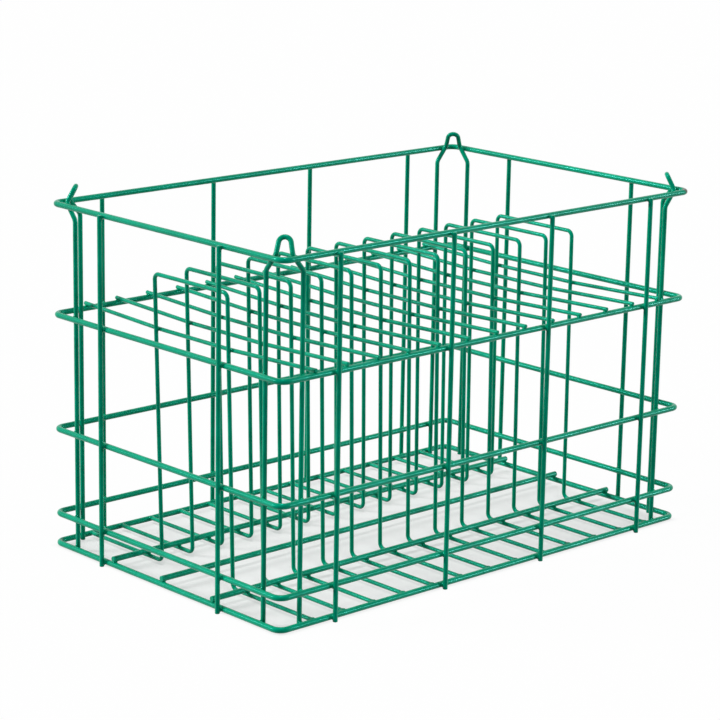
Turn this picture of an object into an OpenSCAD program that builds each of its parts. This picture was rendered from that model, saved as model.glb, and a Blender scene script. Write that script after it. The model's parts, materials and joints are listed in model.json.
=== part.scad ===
// Plate rack of coated steel wire.
// Five closed hoops are tied together by twelve uprights outside them and four
// corner posts inside them. Thirteen dividers, each one wire bent like a top hat,
// hang their feet under three floor rods and lean a little to the left. A cross wire
// on the right of each divider lies on the upper hoop, and is drawn down between
// the divider's legs.
// X runs along the rack, Y across it and Z up. The rack stands on Z = 0, with its
// middle over the origin.

/* [Hoops] */
// Length of the hoops, outside to outside
hoop_length = 467.5; // [400:0.5:560]
// Width of the hoops, outside to outside
hoop_width = 293.5; // [260:0.5:340]
// Corner radius of the hoops, at the centre of the wire
hoop_corner_r = 8; // [7:0.5:16]
// Thickness of the hoop wire with its coating
hoop_wire_d = 4.9; // [4:0.1:6]
// Height of the base hoop's underside above the ground
foot_drop = 0.8; // [0.4:0.1:3]
// Height of the lower hoop, at the centre of the wire
lower_hoop_z = 29.4; // [20:0.2:50]
// Height of the middle hoop, at the centre of the wire
middle_hoop_z = 103.4; // [70:0.2:140]
// Height of the upper hoop, at the centre of the wire
upper_hoop_z = 202; // [160:0.2:220]
// Height of the top rim, at the centre of the wire
rim_z = 295.7; // [275:0.1:340]

/* [Uprights] */
// Thickness of the upright wire with its coating
upright_wire_d = 4; // [3:0.1:5]
// Distance from the end of the hoops to the outer uprights of a long side
outer_upright_inset = 54.2; // [35:0.1:75]
// Distance between the two middle uprights of the front
front_middle_spacing = 112.4; // [70:0.2:150]
// Distance between the two middle uprights of the rear
rear_middle_spacing = 112; // [70:0.2:150]
// Distance between the two uprights of an end
end_upright_spacing = 150; // [90:1:180]
// Depth of an upright's top end below the top of the rim
upright_top_drop = 1.4; // [0:0.1:2]

/* [Corner posts] */
// Thickness of the corner post wire with its coating
post_wire_d = 4; // [3:0.1:5]
// Distance between the two legs of a corner post
post_leg_spacing = 28.2; // [22:0.2:32]
// Distance between the two sides of the stacking loop, where they leave the rim
loop_width = 12.8; // [11:0.1:16]
// Bend radius of the stacking loop's top, at the centre of the wire
loop_top_r = 4.8; // [4.2:0.1:5.4]
// Height of the stacking loop's top above the rim, centre to centre
loop_rise = 14.6; // [12.5:0.1:20]
// Angle that the stacking loop leans into the rack
loop_lean = 27; // [10:1:35]
// Depth below the rim at which the legs bend towards the corner
post_bend_drop = 11.2; // [9:0.1:16]
// Height above the rim at which the legs turn into the loop
loop_turn_rise = 2; // [1:0.1:3]
// Bend radius of the legs below the rim, at the centre of the wire
post_bend_r = 6; // [4:0.5:10]
// Bend radius where the legs turn into the loop, at the centre of the wire
loop_turn_r = 4.5; // [3:0.5:6]
// Height of the legs' cut ends above the ground
post_foot_z = 1; // [0.4:0.1:2.5]

/* [Dividers] */
// Thickness of the divider wire with its coating
divider_wire_d = 3.5; // [2.6:0.1:4]
// Distance from one divider to the next
divider_pitch = 32.55; // [26:0.05:44]
// Least space between a corner post and the first divider's cross wire
end_space_min = 2; // [1:0.5:6]
// Distance between the two legs of a divider
divider_window = 91.5; // [70:0.5:110]
// Height of a divider's top bar above the upper hoop
divider_rise = 47.7; // [30:0.1:65]
// Bend radius of the dividers, at the centre of the wire
divider_bend_r = 5; // [4:0.5:12]
// Distance that the middle divider's top stands to the left of its feet
divider_lean = 5; // [0:0.1:10]
// Amount by which each divider leans less than the one on its left
lean_step = 0.4; // [0:0.05:0.8]

/* [Floor rods] */
// Thickness of the floor rods with their coating
rod_wire_d = 4.9; // [3.4:0.1:5.4]
// Distance from a divider's foot bend to the outer floor rod
rod_from_bend = 13.2; // [6:0.1:20]
// Length of a floor rod's end past the centre of the base hoop
rod_end_past = 1.5; // [0.5:0.1:2.2]

/* [Cross wires] */
// Thickness of the cross wires with their coating
cross_wire_d = 3.4; // [2.2:0.1:4]
// Length of a cross wire's end past the centre of the upper hoop
cross_end_past = 1.6; // [0.5:0.1:2.2]
// Depth of a cross wire's middle, between the divider's legs, below its ends on the hoop
cross_dip = 3.4; // [0:0.1:5]

/* [Coating] */
// Film of coating between two wires at a weld
weld_film = 0.1; // [0.05:0.05:0.3]
// Rounding of the coating at a cut wire end
end_round = 0.5; // [0.2:0.1:0.5]

/* [Node] */
// Which sub-part to draw

/* [Hidden] */
$fn = 48;
green = [0.02, 0.55, 0.42];
green_shaded = [0.01, 0.42, 0.32];
green_lit = [0.1, 0.65, 0.5];

// Centre lines of the hoops, measured from the middle of the rack
half_l = (hoop_length - hoop_wire_d) / 2;
half_w = (hoop_width - hoop_wire_d) / 2;
straight_l = 2 * (half_l - hoop_corner_r);
straight_w = 2 * (half_w - hoop_corner_r);
base_hoop_z = foot_drop + hoop_wire_d / 2;
up = [0, 0, 1];

// Where a bend meets a straight run, a ball a trace wider than the wire joins them,
// and both stop a little short of its centre
joint_swell = weld_film * 0.3;
joint_back = weld_film * 2;

// Distance between the centre lines of a hoop and of a wire welded across it
function beside_hoop(wire_d) = (hoop_wire_d + wire_d) / 2 + weld_film;

// Uprights, outside the hoops
side_upright_y = half_w + beside_hoop(upright_wire_d);
end_upright_x = half_l + beside_hoop(upright_wire_d);
outer_upright_x = half_l - outer_upright_inset;
upright_top_z = rim_z + hoop_wire_d / 2 - upright_top_drop;
function row_x(middle) = [-outer_upright_x, -middle / 2, middle / 2, outer_upright_x];
front_x = row_x(front_middle_spacing);
rear_x = row_x(rear_middle_spacing);

// Corner posts: both legs run up the inside of the hoops, so a place on a leg's
// path is known by its distance from the diagonal of the corner. The path is
// straight beside a side of the hoop and round in the corner itself. Places are
// measured from the centre of the hoop's corner bend.
path_r = hoop_corner_r - beside_hoop(post_wire_d);
function on_path(off) =
    off >= path_r * sin(45)
    ? [-path_r, off / sin(45) - path_r]
    : -path_r * [cos(45 - asin(off / path_r)), sin(45 - asin(off / path_r))];
leg_at = on_path(post_leg_spacing / 2);
turn_at = on_path(loop_width / 2);
leg_inset = hoop_corner_r + leg_at[1];

// Way of a corner post's leg: up from the foot, from the knee slanting to the
// turn, and from the turn leaning over into the stacking loop, whose two sides
// close in towards its round top
over = [sin(45), -sin(45), 0];
post_foot = [leg_at[0], leg_at[1], post_foot_z - rim_z];
knee = [leg_at[0], leg_at[1], -post_bend_drop];
turn = [turn_at[0], turn_at[1], loop_turn_rise];
slant = unit(turn - knee);
lean = [sin(loop_lean) * sin(45), sin(loop_lean) * sin(45), cos(loop_lean)];
loop_side = (loop_rise - loop_turn_rise) / cos(loop_lean) - loop_top_r;
loop_diag = norm([loop_width / 2, loop_side]);
closing = asin(loop_width / 2 / loop_diag) - asin(loop_top_r / loop_diag);
rising = lean * cos(closing) + over * sin(closing);
loop_start = turn + rising * sqrt(loop_diag * loop_diag - loop_top_r * loop_top_r);
loop_centre = turn + over * loop_width / 2 + lean * loop_side;
knee_reach = bend_reach(up, slant, post_bend_r);
turn_reach = bend_reach(slant, rising, loop_turn_r);

// Floor: the rods lie on the ends of the base hoop, and the dividers' feet hang
// under the rods and end at the inner faces of the base hoop
rod_z = base_hoop_z + beside_hoop(rod_wire_d);
rod_y = divider_window / 2 + divider_bend_r + rod_from_bend;
rod_half = half_l + rod_end_past;
foot_z = rod_z - (rod_wire_d + divider_wire_d) / 2 - weld_film;
foot_end_y = half_w - hoop_wire_d / 2 - weld_film;

// Dividers, as many as fit between the corner posts
cross_off = (divider_wire_d + cross_wire_d) / 2 + weld_film;
end_space = leg_inset + post_wire_d / 2 + end_space_min + cross_wire_d / 2 + cross_off;
divider_count = floor(2 * (half_l - end_space) / divider_pitch) + 1;
function divider_x(i) = (i - (divider_count + 1) / 2) * divider_pitch;
divider_h = upper_hoop_z + divider_rise - foot_z;
function lean_angle(i) =
    atan((divider_lean - (i - (divider_count + 1) / 2) * lean_step) / divider_h);
heel = [0, divider_window / 2, 0];
head = [0, divider_window / 2, divider_h];
inward = [0, -1, 0];

// Cross wires: their ends lie on the upper hoop, and from there each slopes down to
// the divider's legs and is level between them
cross_end_z = upper_hoop_z + beside_hoop(cross_wire_d);
cross_z = cross_end_z - cross_dip;
cross_turn = [0, divider_window / 2, 0];
cross_slope = cross_dip / (half_w - cross_turn[1]);
cross_end = [0, half_w + cross_end_past, (half_w + cross_end_past - cross_turn[1]) * cross_slope];
function cross_x(i) =
    divider_x(i) - (cross_z - foot_z) * tan(lean_angle(i)) + cross_off / cos(lean_angle(i));

// Vector of length 1 along v
function unit(v) = v / norm(v);

// Moves a shape's origin to p, its X axis to ax and its Y axis to ay
module place(p, ax, ay) {
    az = cross(ax, ay);
    multmatrix([
        [ax[0], ay[0], az[0], p[0]],
        [ax[1], ay[1], az[1], p[1]],
        [ax[2], ay[2], az[2], p[2]],
        [0, 0, 0, 1]
    ])
        children();
}

// Wire from the origin up Z. It starts at a cut end, rounded by the coating, and
// ends in another one or, when it goes on, in a flat face.
module wire_from_end(length, d, goes_on = false) {
    core = d / 2 - end_round;
    rotate_extrude() {
        square([core, length]);
        translate([0, end_round])
            square([d / 2, length - end_round * (goes_on ? 1 : 2)]);
        translate([core, end_round])
            circle(end_round);
        if (!goes_on)
            translate([core, length - end_round])
                circle(end_round);
    }
}

// Bent wire about the origin, in the XY plane, that starts on the X axis
module arc(angle, bend_r, d) {
    rotate_extrude(angle = angle)
        translate([bend_r, 0])
            circle(d / 2);
}

// Ball that joins a bend to a straight run
module joint(p, d) {
    translate(p)
        sphere(d = d + 2 * joint_swell);
}

// Wire from the joint at a to the joint at b
module wire_between(a, b, d) {
    along = unit(b - a);
    side = unit(cross(along, [0, 1, 1]));
    place(a + along * joint_back, side, cross(along, side))
        cylinder(d = d, h = norm(b - a) - 2 * joint_back);
}

// Length of wire that a bend takes from each of its two straight runs
function bend_reach(u, v, bend_r) = bend_r * tan(acos(u * v) / 2);

// Bend of a wire between two joints, with its centre at c. It starts from the
// direction out of c and goes along u at first.
module bend_about(c, out, u, angle, bend_r, d) {
    trim = joint_back / bend_r * 180 / PI;
    place(c, out, u)
        rotate([0, 0, trim])
            arc(angle - 2 * trim, bend_r, d);
}

// Bend of a wire whose straight runs would meet at p. It comes in along u, goes
// out along v and brings the joints at both its ends.
module bend(p, u, v, bend_r, d) {
    reach = bend_reach(u, v, bend_r);
    angle = acos(u * v);
    centre = p + unit(v - u) * bend_r / cos(angle / 2);
    bend_about(centre, unit(p - u * reach - centre), u, angle, bend_r, d);
    joint(p - u * reach, d);
    joint(p + v * reach, d);
}

// Closed hoop of one wire, with its centre line at height z
module hoop(z) {
    translate([0, 0, z]) {
        for (turn = [0, 180])
            rotate([0, 0, turn]) {
                translate([-straight_l / 2, half_w, 0])
                    rotate([0, 90, 0])
                        cylinder(d = hoop_wire_d, h = straight_l);
                translate([half_l, straight_w / 2, 0])
                    rotate([90, 0, 0])
                        cylinder(d = hoop_wire_d, h = straight_w);
                translate([straight_l / 2, straight_w / 2, 0])
                    arc(90, hoop_corner_r, hoop_wire_d);
                translate([-straight_l / 2, straight_w / 2, 0])
                    rotate([0, 0, 90])
                        arc(90, hoop_corner_r, hoop_wire_d);
            }
    }
}

module top_rim() {
    color(green_lit)
        hoop(rim_z);
}

module upper_hoop() {
    color(green)
        hoop(upper_hoop_z);
}

module middle_hoop() {
    color(green)
        hoop(middle_hoop_z);
}

module lower_hoop() {
    color(green)
        hoop(lower_hoop_z);
}

module base_hoop() {
    color(green)
        hoop(base_hoop_z);
}

// Upright on the ground at x, y
module upright(x, y) {
    color(green_shaded)
        translate([x, y, 0])
            wire_from_end(upright_top_z, upright_wire_d);
}

// One leg of a corner post, from its cut foot to the stacking loop
module post_leg() {
    translate(post_foot)
        wire_from_end(knee[2] - knee_reach - joint_back - post_foot[2], post_wire_d, goes_on = true);
    bend(knee, up, slant, post_bend_r, post_wire_d);
    wire_between(knee + slant * knee_reach, turn - slant * turn_reach, post_wire_d);
    bend(turn, slant, rising, loop_turn_r, post_wire_d);
    wire_between(turn + rising * turn_reach, loop_start, post_wire_d);
    joint(loop_start, post_wire_d);
}

// Corner post of one wire, in the corner on the side sx of X and sy of Y
module corner_post(sx, sy) {
    color(green_shaded)
        mirror([sx > 0 ? 1 : 0, 0, 0])
            mirror([0, sy > 0 ? 1 : 0, 0])
                translate([-straight_l / 2, -straight_w / 2, rim_z]) {
                    post_leg();
                    mirror([1, -1, 0])
                        post_leg();
                    bend_about(loop_centre, unit(loop_start - loop_centre), rising,
                        180 - 2 * closing, loop_top_r, post_wire_d);
                }
}

// Half of an upright divider, with its feet along Y: the foot, the leg and the bends
// at its ends
module divider_half() {
    translate([0, foot_end_y, 0])
        rotate([90, 0, 0])
            wire_from_end(foot_end_y - heel[1] - divider_bend_r - joint_back, divider_wire_d,
                goes_on = true);
    bend(heel, inward, up, divider_bend_r, divider_wire_d);
    wire_between(heel + up * divider_bend_r, head - up * divider_bend_r, divider_wire_d);
    bend(head, up, inward, divider_bend_r, divider_wire_d);
}

// Divider of one wire, shaped like a top hat
module divider(i) {
    bar_end = head + inward * divider_bend_r;
    color(green_shaded)
        translate([divider_x(i), 0, foot_z])
            rotate([0, -lean_angle(i), 0]) {
                divider_half();
                mirror([0, 1, 0])
                    divider_half();
                wire_between(bar_end, [0, -bar_end[1], bar_end[2]], divider_wire_d);
            }
}

// Half of a cross wire, from its end on the hoop to its turn at the divider's leg
module cross_half() {
    along = unit(cross_turn - cross_end);
    place(cross_end, [1, 0, 0], cross(along, [1, 0, 0]))
        wire_from_end(norm(cross_turn - cross_end) - joint_back, cross_wire_d, goes_on = true);
    joint(cross_turn, cross_wire_d);
}

// Cross wire against the legs of divider i
module cross_wire(i) {
    color(green)
        translate([cross_x(i), 0, cross_z]) {
            cross_half();
            mirror([0, 1, 0])
                cross_half();
            wire_between(cross_turn, -cross_turn, cross_wire_d);
        }
}

// Floor rod i: 1 to the front, 2 in the middle and 3 to the rear
module floor_rod(i) {
    color(green)
        translate([-rod_half, (i - 2) * rod_y, rod_z])
            rotate([0, 90, 0])
                wire_from_end(2 * rod_half, rod_wire_d);
}

top_rim();
upper_hoop();
middle_hoop();
lower_hoop();
base_hoop();
corner_post(-1, -1);  // corner_post_1
corner_post(1, -1);  // corner_post_2
corner_post(1, 1);  // corner_post_3
corner_post(-1, 1);  // corner_post_4
for (i = [1:4]) {
    upright(front_x[i - 1], -side_upright_y);
    upright(rear_x[i - 1], side_upright_y);
}
for (i = [1:2]) {
    end_y = (i - 1.5) * end_upright_spacing;
    upright(-end_upright_x, end_y);
    upright(end_upright_x, end_y);
}
for (i = [1:divider_count]) {
    divider(i);
    cross_wire(i);
}
for (i = [1:3])
    floor_rod(i);
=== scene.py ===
# Plate rack of steel wire dipped in green vinyl: its looks, its light and the camera.
# Metres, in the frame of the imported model: X along the rack, Y to the rear, Z up.
import json
from math import copysign, cos, pi, radians, sin

import bmesh
import bpy
from mathutils import Matrix, Vector

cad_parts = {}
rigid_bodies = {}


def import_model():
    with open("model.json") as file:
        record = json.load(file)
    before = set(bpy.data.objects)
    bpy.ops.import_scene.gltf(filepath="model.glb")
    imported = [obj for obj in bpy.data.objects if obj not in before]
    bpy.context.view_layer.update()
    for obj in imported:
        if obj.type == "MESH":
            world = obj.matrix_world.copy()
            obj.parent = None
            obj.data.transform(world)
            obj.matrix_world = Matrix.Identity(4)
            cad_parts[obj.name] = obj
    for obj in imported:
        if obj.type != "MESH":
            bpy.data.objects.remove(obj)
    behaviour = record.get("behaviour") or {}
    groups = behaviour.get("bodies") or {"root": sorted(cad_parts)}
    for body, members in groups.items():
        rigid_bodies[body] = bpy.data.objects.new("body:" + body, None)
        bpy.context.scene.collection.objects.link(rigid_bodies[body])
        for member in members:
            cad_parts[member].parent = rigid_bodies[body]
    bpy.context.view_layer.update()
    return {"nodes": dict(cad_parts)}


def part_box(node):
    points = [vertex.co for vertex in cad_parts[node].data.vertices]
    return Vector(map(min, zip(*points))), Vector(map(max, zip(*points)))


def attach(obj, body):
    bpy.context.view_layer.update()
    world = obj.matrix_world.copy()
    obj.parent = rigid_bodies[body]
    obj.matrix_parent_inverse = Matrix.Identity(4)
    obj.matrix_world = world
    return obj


for leftover in list(bpy.data.objects):
    bpy.data.objects.remove(leftover)

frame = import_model()

MM = 0.001
X, Y, Z = Vector((1, 0, 0)), Vector((0, 1, 0)), Vector((0, 0, 1))
ROOT = "root"

# Sizes that can't be read from a node's box: the radii of the bent wires, how much wider
# the joints at their bends are, and where the dividers' legs stand
DIVIDER_R = 1.75 * MM
CROSS_R = 1.7 * MM
JOINT_SWELL = 0.03 * MM
DIVIDER_LEG_Y = 45.75 * MM

# A corner post's leg crosses the rim this far from the corner, and at this slant
POST_RIM_INSET = 15.25 * MM
POST_SLANT = radians(39.5)


def nodes_named(word):
    """Names of the CAD nodes that have a word in them."""
    return [name for name in frame["nodes"] if word in name]


def middle(node):
    """Centre of a node's box."""
    low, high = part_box(node)
    return (low + high) / 2


def thickness(node, axis):
    """Thickness of a straight or flat-lying wire, measured along X, Y or Z."""
    low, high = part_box(node)
    return high[axis] - low[axis]


def linear(hex_colour):
    """Linear RGBA of an sRGB hex colour."""
    parts = [int(hex_colour[i:i + 2], 16) / 255 for i in (1, 3, 5)]
    return tuple(c / 12.92 if c <= 0.04045 else ((c + 0.055) / 1.055) ** 2.4
                 for c in parts) + (1.0,)


# Materials

# The coating's patterns, by the length that each repeats over. The pigment's real grains
# are finer than 1.4 mm, and are drawn that coarse so that they show.
DRIFT_SPAN = 18 * MM
GRAIN = 1.4 * MM
ORANGE_PEEL = 2.2 * MM

BROWNED_STEEL = "#5A4A38"

# Sockets of a Mix node that mixes colours
MIX_FACTOR, MIX_A, MIX_B, MIX_RESULT = 0, 6, 7, 2


def add_node(tree, kind, settings=None, links=None):
    """Add a node, set its inputs or properties, and link outputs to its inputs."""
    node = tree.nodes.new(kind)
    for key, value in (settings or {}).items():
        if isinstance(key, int) or key in node.inputs:
            node.inputs[key].default_value = value
        else:
            setattr(node, key, value)
    for key, source in (links or {}).items():
        tree.links.new(source, node.inputs[key])
    return node


def coloured_ramp(tree, factor, stops):
    """Ramp from a factor to colours, given as (position, hex colour)."""
    ramp = add_node(tree, "ShaderNodeValToRGB", links={"Fac": factor})
    elements = ramp.color_ramp.elements
    while len(elements) < len(stops):
        elements.new(0.5)
    for element, (position, colour) in zip(elements, stops):
        element.position = position
        element.color = linear(colour)
    return ramp.outputs["Color"]


def vinyl_dip(name, thin, usual, thick, roughness, worn_spots=()):
    """Vinyl plastisol, dipped hot over primed steel wire and cured. It gives a smooth,
    slightly glossy skin with a faint orange peel, deeper in colour where it is thick."""
    material = bpy.data.materials.new(name)
    material.use_nodes = True
    tree = material.node_tree
    tree.nodes.clear()
    place = add_node(tree, "ShaderNodeTexCoord").outputs["Object"]
    # The skin's thickness drifts along the wire
    drift = add_node(tree, "ShaderNodeTexNoise",
                     {"Scale": 1 / DRIFT_SPAN, "Detail": 2.0, "Roughness": 0.45},
                     {"Vector": place})
    colour = coloured_ramp(tree, drift.outputs["Fac"],
                           [(0.30, thin), (0.52, usual), (0.74, thick)])
    # Cured pigment mottles the skin finely
    mottle = add_node(tree, "ShaderNodeTexNoise",
                      {"Scale": 1 / GRAIN, "Detail": 3.0, "Roughness": 0.6},
                      {"Vector": place})
    shade = add_node(tree, "ShaderNodeMapRange",
                     {"From Min": 0.3, "From Max": 0.7, "To Min": 0.93, "To Max": 1.07},
                     {"Value": mottle.outputs["Fac"]})
    colour = add_node(tree, "ShaderNodeVectorMath", {"operation": "SCALE"},
                      {0: colour, "Scale": shade.outputs["Result"]}).outputs["Vector"]
    # Thicker skin is a little duller
    rough = add_node(tree, "ShaderNodeMapRange",
                     {"From Min": 0.3, "From Max": 0.7,
                      "To Min": roughness - 0.05, "To Max": roughness + 0.07},
                     {"Value": drift.outputs["Fac"]}).outputs["Result"]
    peel = add_node(tree, "ShaderNodeTexNoise",
                    {"Scale": 1 / ORANGE_PEEL, "Detail": 1.0, "Roughness": 0.4},
                    {"Vector": place})
    bump = add_node(tree, "ShaderNodeBump", {"Strength": 0.22, "Distance": 0.12 * MM},
                    {"Height": peel.outputs["Fac"]})
    for spot, reach in worn_spots:
        # Where racks rub together, the vinyl is worn through to browned steel
        apart = add_node(tree, "ShaderNodeVectorMath", {"operation": "DISTANCE", 1: spot},
                         {0: place})
        ragged = add_node(tree, "ShaderNodeMath",
                          {"operation": "MULTIPLY_ADD", 1: reach * 1.2},
                          {0: mottle.outputs["Fac"], 2: apart.outputs["Value"]})
        mask = add_node(tree, "ShaderNodeMapRange",
                        {"From Min": reach * 1.45, "From Max": reach * 1.75,
                         "To Min": 1.0, "To Max": 0.0},
                        {"Value": ragged.outputs["Value"]}).outputs["Result"]
        colour = add_node(tree, "ShaderNodeMix",
                          {"data_type": "RGBA", MIX_B: linear(BROWNED_STEEL)},
                          {MIX_FACTOR: mask, MIX_A: colour}).outputs[MIX_RESULT]
    shader = add_node(tree, "ShaderNodeBsdfPrincipled",
                      {"Metallic": 0.0, "IOR": 1.5, "Specular IOR Level": 0.30,
                       "Specular Tint": linear("#00FFF2")},
                      {"Base Color": colour, "Roughness": rough,
                       "Normal": bump.outputs["Normal"]})
    add_node(tree, "ShaderNodeOutputMaterial", links={"Surface": shader.outputs["BSDF"]})
    return material


# The rim's front corner at the right is worn on top
rim_low, rim_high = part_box("top_rim")
worn_corner = Vector((rim_high.x - 5.5 * MM, rim_low.y + 3.4 * MM, rim_high.z - 1.6 * MM))
wire_coating = vinyl_dip("vinyl_dip_on_wire", "#01B088", "#00A57C", "#009771", 0.19,
                         worn_spots=[(worn_corner, 4.5 * MM)])
pooled_coating = vinyl_dip("vinyl_dip_pooled_at_welds",
                           "#01A87D", "#009C72", "#008E67", 0.11)

for cad_node in frame["nodes"].values():
    cad_node.data.materials[0] = wire_coating

# Vinyl that fills in round the welds: the dip bridges the wedge between two wires, so
# each weld wears a small saddle of thicker, glossier coating

# Gap between two welded wires, how far a saddle sinks into them, how far it stops short of
# a cut end, and the points in a ring
FILM = 0.1 * MM
SUNK = 0.06 * MM
SHORT_OF_END = 0.1 * MM
AROUND = 12

# A saddle has an outer and an inner ring on each wire. A ring's reach is how far it goes
# along its wire, in radii of the other one, its waist how far across, and its wrap how far
# its sides go round, both in radii of its own wire. The inner ring's far points rise a bit.
OUTER_REACH, OUTER_WAIST, OUTER_WRAP = 1.45, 0.80, 0.40
INNER_REACH, INNER_WAIST, INNER_WRAP, INNER_RISE = 1.12, 0.92, 0.24, 0.07


def select_points(piece, wanted):
    """Select the points of a mesh in edit mode that pass the test."""
    mesh = bmesh.from_edit_mesh(piece.data)
    for vertex in mesh.verts:
        vertex.select = wanted(vertex)
    mesh.select_flush_mode()
    bmesh.update_edit_mesh(piece.data)


def ringed_form(name, rings):
    """Closed form through rings of twelve points. A ring is its half width in X, its
    middle and half width in Y, and its heights at its X ends and its Y ends."""
    bpy.ops.object.select_all(action="DESELECT")
    bpy.ops.mesh.primitive_circle_add(vertices=AROUND, radius=1, fill_type="NGON")
    piece = bpy.context.object
    piece.name = piece.data.name = name
    bpy.ops.object.mode_set(mode="EDIT")
    last = (1.0, 0.0, 1.0, 0.0, 0.0)
    for number, ring in enumerate(rings):
        if number:
            bpy.ops.mesh.extrude_region_move()
        points = {v.index for v in bmesh.from_edit_mesh(piece.data).verts if v.select}
        bpy.ops.transform.resize(value=(ring[0] / last[0], ring[2] / last[2], 1),
                                 center_override=(0, last[1], 0))
        bpy.ops.transform.translate(value=(0, ring[1] - last[1], 0))
        for step in range(AROUND // 4 + 1):
            along = cos(2 * pi * step / AROUND)
            rise = (along ** 2 * (ring[3] - last[3])
                    + (1 - along ** 2) * (ring[4] - last[4]))
            select_points(piece, lambda v: v.index in points
                          and abs(abs(v.co.x) / ring[0] - along) < 0.01)
            bpy.ops.transform.translate(value=(0, 0, rise))
        select_points(piece, lambda v: v.index in points)
        last = ring
    bpy.ops.mesh.select_all(action="SELECT")
    bpy.ops.mesh.normals_make_consistent(inside=False)
    bpy.ops.object.mode_set(mode="OBJECT")
    bpy.ops.object.shade_smooth_by_angle(angle=radians(70))
    return piece


def weld_saddle(name, below, above, end=None):
    """Coating at a weld at the origin. The wire below runs along X, the one above along Y
    and, where an end is given, is cut off that far past the weld."""
    rings = []
    for across, along, at_x, at_y in (
            (OUTER_REACH, OUTER_WAIST,
             -FILM / 2 - SUNK, -FILM / 2 - SUNK - OUTER_WRAP * below),
            (INNER_REACH, INNER_WAIST, INNER_RISE * above, -INNER_WRAP * below),
            (INNER_WAIST, INNER_REACH, INNER_WRAP * above, -INNER_RISE * below),
            (OUTER_WAIST, OUTER_REACH,
             FILM / 2 + SUNK + OUTER_WRAP * above, FILM / 2 + SUNK)):
        back = along * below
        front = min(back, end - SHORT_OF_END) if end else back
        rings.append((across * above, (front - back) / 2, (front + back) / 2, at_x, at_y))
    return ringed_form(name, rings)


def lay(name, model, places):
    """Copy a model to its places and join the copies into one piece of the rack. A place
    is a point and the directions that the model's X and Y take there."""
    copies = []
    for point, x_way, y_way in places:
        x_way, y_way = Vector(x_way), Vector(y_way)
        z_way = x_way.cross(y_way).normalized()
        copy = model.copy()
        copy.data = model.data.copy()
        frame["nodes"]["top_rim"].users_collection[0].objects.link(copy)
        turn = Matrix((x_way, y_way, z_way)).transposed().to_4x4()
        copy.data.transform(Matrix.Translation(point) @ turn)
        copies.append(copy)
    bpy.ops.object.select_all(action="DESELECT")
    for copy in copies:
        copy.select_set(True)
    bpy.context.view_layer.objects.active = copies[0]
    bpy.ops.object.join()
    piece = bpy.context.object
    piece.name = piece.data.name = name
    piece.data.materials.append(pooled_coating)
    bpy.data.objects.remove(model)
    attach(piece, ROOT)
    return piece


class Divider:
    """A divider's foot line and lean, read from its box. The joints at its bends are a
    trace wider than the wire."""

    def __init__(self, node):
        low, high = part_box(node)
        self.foot_x = high.x - DIVIDER_R - JOINT_SWELL
        self.foot_z = low.z + DIVIDER_R
        shift = self.foot_x - (low.x + DIVIDER_R + JOINT_SWELL)
        self.way = Vector((-shift, 0, high.z - low.z - 2 * DIVIDER_R)).normalized()

    def leg_at(self, height, leg_y):
        """Centre of the leg at a height."""
        climb = (height - self.foot_z) / self.way.z
        return Vector((self.foot_x + self.way.x * climb, leg_y, height))


hoop_r = thickness("top_rim", 2) / 2
upright_r = thickness("front_upright_1", 0) / 2
post_r = upright_r
rod_r = thickness("floor_rod_1", 1) / 2
hoop_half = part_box("top_rim")[1] - Vector((hoop_r, hoop_r, 0))
upright_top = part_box("front_upright_1")[1].z

# Uprights outside the hoops, and the legs of the corner posts inside them. A column of
# welds is its place in plan, the way out of the hoop to the wire, the wire's radius, and
# whether the wire is an upright.
weld_columns = []
for node in nodes_named("upright"):
    centre = middle(node)
    at_end = abs(centre.x) > hoop_half.x
    out = X * copysign(1, centre.x) if at_end else Y * copysign(1, centre.y)
    weld_columns.append((centre.x, centre.y, out, upright_r, True))
for node in nodes_named("corner_post"):
    low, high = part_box(node)
    side_x, side_y = copysign(1, low.x), copysign(1, low.y)
    outer_x, outer_y = [max(low[axis], high[axis], key=abs) for axis in (0, 1)]
    inner_x, inner_y = [min(low[axis], high[axis], key=abs) for axis in (0, 1)]
    weld_columns.append((outer_x - side_x * post_r, inner_y + side_y * post_r,
                         X * -side_x, post_r, False))
    weld_columns.append((inner_x + side_x * post_r, outer_y - side_y * post_r,
                         Y * -side_y, post_r, False))

for hoop in ("top_rim", "upper_hoop", "middle_hoop", "lower_hoop", "base_hoop"):
    level = middle(hoop).z
    uprights, legs = [], []
    for column_x, column_y, out, wire_r, is_upright in weld_columns:
        way = Z
        point = Vector((column_x, column_y, level)) - out * (wire_r + FILM / 2)
        if hoop == "top_rim" and not is_upright:
            # The leg slants along the rim towards its corner here
            axis = 1 if out.x else 0
            side = copysign(1, (column_x, column_y)[axis])
            point[axis] = side * (hoop_half[axis] - POST_RIM_INSET)
            way = Z * cos(POST_SLANT) + (X, Y)[axis] * side * sin(POST_SLANT)
        (uprights if is_upright else legs).append((point, Z.cross(out), way))
    upright_end = leg_end = None
    if hoop == "top_rim":
        upright_end = upright_top - level
    if hoop == "base_hoop":
        # The cut ends are below here, so the saddles are turned over
        upright_end, leg_end = level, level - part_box("corner_post_1")[0].z
        uprights = [(p, -u, -v) for p, u, v in uprights]
        legs = [(p, -u, -v) for p, u, v in legs]
    lay(hoop + "_upright_weld_coats",
        weld_saddle("upright_saddle", hoop_r, upright_r, upright_end), uprights)
    lay(hoop + "_post_weld_coats",
        weld_saddle("post_saddle", hoop_r, post_r, leg_end), legs)

upper = middle("upper_hoop").z
cross_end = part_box("cross_wire_1")[1].y - hoop_half.y
places = []
for node in nodes_named("cross_wire"):
    for side in (1, -1):
        point = Vector((middle(node).x, side * hoop_half.y, upper + hoop_r + FILM / 2))
        places.append((point, X * side, Y * side))
lay("cross_wire_end_weld_coats",
    weld_saddle("cross_saddle", hoop_r, CROSS_R, cross_end), places)

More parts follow.
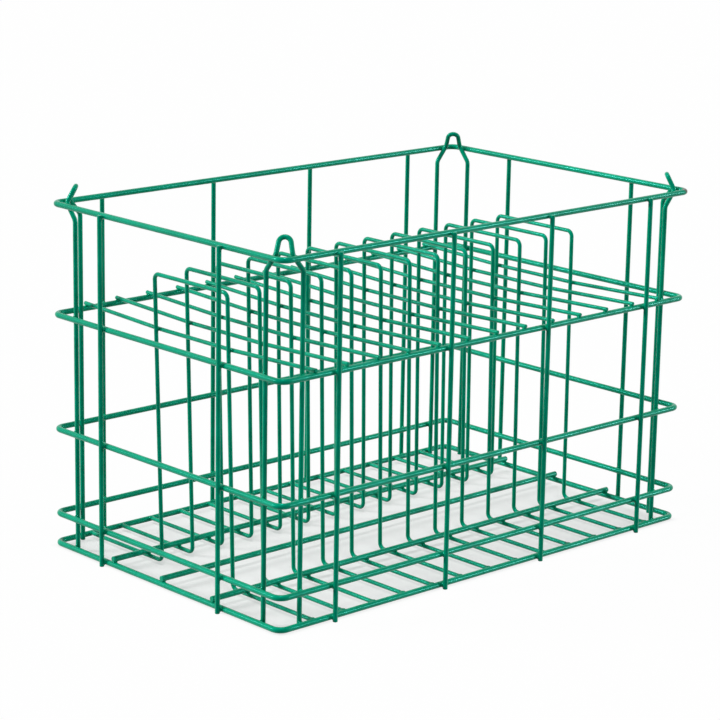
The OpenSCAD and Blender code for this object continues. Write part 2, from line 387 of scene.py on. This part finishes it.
cross_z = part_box("cross_wire_1")[0].z + CROSS_R + JOINT_SWELL
dividers = [Divider(node) for node in nodes_named("divider")]
places = []
for divider in dividers:
    for side in (1, -1):
        # The cross wire is on the right of the leg
        out = divider.way.cross(Y * -1)
        point = divider.leg_at(cross_z, side * DIVIDER_LEG_Y)
        point += out * (DIVIDER_R + FILM / 2)
        places.append((point, divider.way, Y * -1))
lay("divider_leg_weld_coats", weld_saddle("leg_saddle", DIVIDER_R, CROSS_R), places)

rail_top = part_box("base_hoop")[1].z
rod_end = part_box("floor_rod_1")[1].x - hoop_half.x
places = []
for node in nodes_named("floor_rod"):
    for side in (1, -1):
        point = Vector((side * hoop_half.x, middle(node).y, rail_top + FILM / 2))
        places.append((point, Y * -side, X * side))
lay("floor_rod_end_weld_coats",
    weld_saddle("rod_saddle", hoop_r, rod_r, rod_end), places)

places = []
for divider in dividers:
    for rod in ("floor_rod_1", "floor_rod_3"):
        point = Vector((divider.foot_x, middle(rod).y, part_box(rod)[0].z - FILM / 2))
        places.append((point, X, Y * -1))
lay("divider_foot_weld_coats", weld_saddle("foot_saddle", rod_r, DIVIDER_R), places)

# Where a divider's foot ends against the base hoop, the coating flares from the foot and
# stands in a bead on the rail. Rings run outwards: distance past the rail's inner face,
# half width, and reach above and below the foot's centre, in millimetres.
COLLAR = ((-2.6, 1.70, 1.70, 1.70),
          (-1.2, 1.85, 1.90, 1.82),
          (-0.3, 2.25, 2.15, 2.0),
          (0.7, 2.60, 2.35, 2.2),
          (1.7, 2.55, 2.25, 2.0),
          (2.6, 2.10, 1.90, 1.3),
          (3.3, 1.2, 1.2, 0.9))
collar_rings = []
for past, half_width, top, bottom in COLLAR:
    collar_rings.append((half_width * MM, (top - bottom) / 2 * MM, (top + bottom) / 2 * MM,
                         past * MM, past * MM))
collar = ringed_form("foot_collar", collar_rings)
inner_face = hoop_half.y - hoop_r
places = []
for divider in dividers:
    for side in (1, -1):
        # The model's Z runs out of the rack, so its X is turned to keep its Y upwards
        point = Vector((divider.foot_x, side * inner_face, divider.foot_z))
        places.append((point, X * -side, Z))
lay("divider_foot_end_coats", collar, places)

# Floor, light and camera

WHITE = (1, 1, 1, 1)
FLOOR_SIZE = 24
FLOOR_BELOW = 0.05 * MM
# How light the paper is when it lights the rack, and how strong the room's own light is
PAPER_GREY = 0.34
ROOM_LIGHT = 0.05
# The paper's shadows go over to plain white between these distances past the hoops
FADE_FROM, FADE_TO = -8 * MM, 5 * MM
WHITE_UNDER_RACK, WHITE_PAST_RACK = 0.52, 0.97


def shown_to_eye(tree):
    """1 for rays that the camera sees directly, in a gloss or through glass, else 0."""
    rays = add_node(tree, "ShaderNodeLightPath")
    direct = add_node(tree, "ShaderNodeMath", {"operation": "MAXIMUM"},
                      {0: rays.outputs["Is Camera Ray"],
                       1: rays.outputs["Is Transmission Ray"]})
    shown = add_node(tree, "ShaderNodeMath", {"operation": "MAXIMUM"},
                     {0: direct.outputs["Value"], 1: rays.outputs["Is Glossy Ray"]})
    return shown.outputs["Value"]


bpy.ops.object.select_all(action="DESELECT")
bpy.ops.mesh.primitive_plane_add(size=FLOOR_SIZE, location=(0, 0, -FLOOR_BELOW))
floor = bpy.context.object
floor.name = "floor"
paper = bpy.data.materials.new("white_studio_paper")
paper.use_nodes = True
tree = paper.node_tree
tree.nodes.clear()
# The paper is shown as white as in the photograph: shadows are kept under the rack and
# fade out past it. It lights the rack like grey paper.
place = add_node(tree, "ShaderNodeTexCoord").outputs["Object"]
away = add_node(tree, "ShaderNodeVectorMath", {"operation": "ABSOLUTE"}, {0: place})
past = add_node(tree, "ShaderNodeVectorMath",
                {"operation": "SUBTRACT", 1: (hoop_half.x, hoop_half.y, 0)},
                {0: away.outputs["Vector"]})
past = add_node(tree, "ShaderNodeSeparateXYZ", links={0: past.outputs["Vector"]})
past = add_node(tree, "ShaderNodeMath", {"operation": "MAXIMUM"},
                {0: past.outputs["X"], 1: past.outputs["Y"]})
cleared = add_node(tree, "ShaderNodeMapRange",
                   {"From Min": FADE_FROM, "From Max": FADE_TO,
                    "To Min": WHITE_UNDER_RACK, "To Max": WHITE_PAST_RACK},
                   {"Value": past.outputs["Value"]})
lit_paper = add_node(tree, "ShaderNodeBsdfDiffuse", {"Color": WHITE})
clear_paper = add_node(tree, "ShaderNodeEmission", {"Color": WHITE, "Strength": 1.0})
white_paper = add_node(tree, "ShaderNodeMixShader", {},
                       {0: cleared.outputs["Result"], 1: lit_paper.outputs["BSDF"],
                        2: clear_paper.outputs["Emission"]})
grey_paper = add_node(tree, "ShaderNodeBsdfDiffuse",
                      {"Color": (PAPER_GREY, PAPER_GREY, PAPER_GREY, 1)})
seen_paper = add_node(tree, "ShaderNodeMixShader", {},
                      {0: shown_to_eye(tree), 1: grey_paper.outputs["BSDF"],
                       2: white_paper.outputs["Shader"]})
add_node(tree, "ShaderNodeOutputMaterial", links={"Surface": seen_paper.outputs["Shader"]})
floor.data.materials.append(paper)

world = bpy.data.worlds.new("studio")
bpy.context.scene.world = world
world.use_nodes = True
tree = world.node_tree
tree.nodes.clear()
soft = add_node(tree, "ShaderNodeBackground", {"Color": WHITE, "Strength": ROOM_LIGHT})
white = add_node(tree, "ShaderNodeBackground", {"Color": WHITE, "Strength": 1.0})
mixed = add_node(tree, "ShaderNodeMixShader", {},
                 {0: shown_to_eye(tree), 1: soft.outputs["Background"],
                  2: white.outputs["Background"]})
add_node(tree, "ShaderNodeOutputWorld", links={"Surface": mixed.outputs["Shader"]})

# Three softboxes far away: on the left, overhead, and a small one low on the right in
# front, whose gloss runs along the rails. Each is the way to it, its share of the light,
# and how wide it looks from the rack, in degrees.
SOFTBOXES = {"left_softbox": ((-0.71, 0.57, 0.41), 0.78, 20),
             "overhead_softbox": ((-0.10, -0.15, 0.98), 0.35, 9),
             "low_right_softbox": ((0.70, -0.68, 0.22), 0.33, 13)}
LAMP_DISTANCE = 1.5
for name, (to_light, share, width) in SOFTBOXES.items():
    to_light = Vector(to_light).normalized()
    light = bpy.data.lights.new(name, "SUN")
    light.energy = share * pi
    light.angle = radians(width)
    lamp = bpy.data.objects.new(name, light)
    bpy.context.scene.collection.objects.link(lamp)
    lamp.location = to_light * LAMP_DISTANCE
    lamp.rotation_euler = to_light.to_track_quat("Z", "Y").to_euler()

# The photograph's view: place, point looked at, roll in radians, and focal length and
# sensor width in mm
CAMERA_AT = Vector((-1.49277, -1.58651, 0.70822))
LOOK_AT = Vector((-0.01712, 0.0, 0.1569))
ROLL = 0.018
FOCAL_LENGTH = 131.44
SENSOR_WIDTH = 36
forward = (LOOK_AT - CAMERA_AT).normalized()
right = forward.cross(Z).normalized()
above = right.cross(forward)
rolled_right = right * cos(ROLL) + above * sin(ROLL)
rolled_up = above * cos(ROLL) - right * sin(ROLL)
lens = bpy.data.cameras.new("camera")
lens.sensor_width = SENSOR_WIDTH
lens.lens = FOCAL_LENGTH
camera = bpy.data.objects.new("camera", lens)
bpy.context.scene.collection.objects.link(camera)
camera.matrix_world = (Matrix.Translation(CAMERA_AT)
                       @ Matrix((rolled_right, rolled_up, -forward)).transposed().to_4x4())
bpy.context.scene.camera = camera
bpy.context.scene.view_settings.view_transform = "Standard"
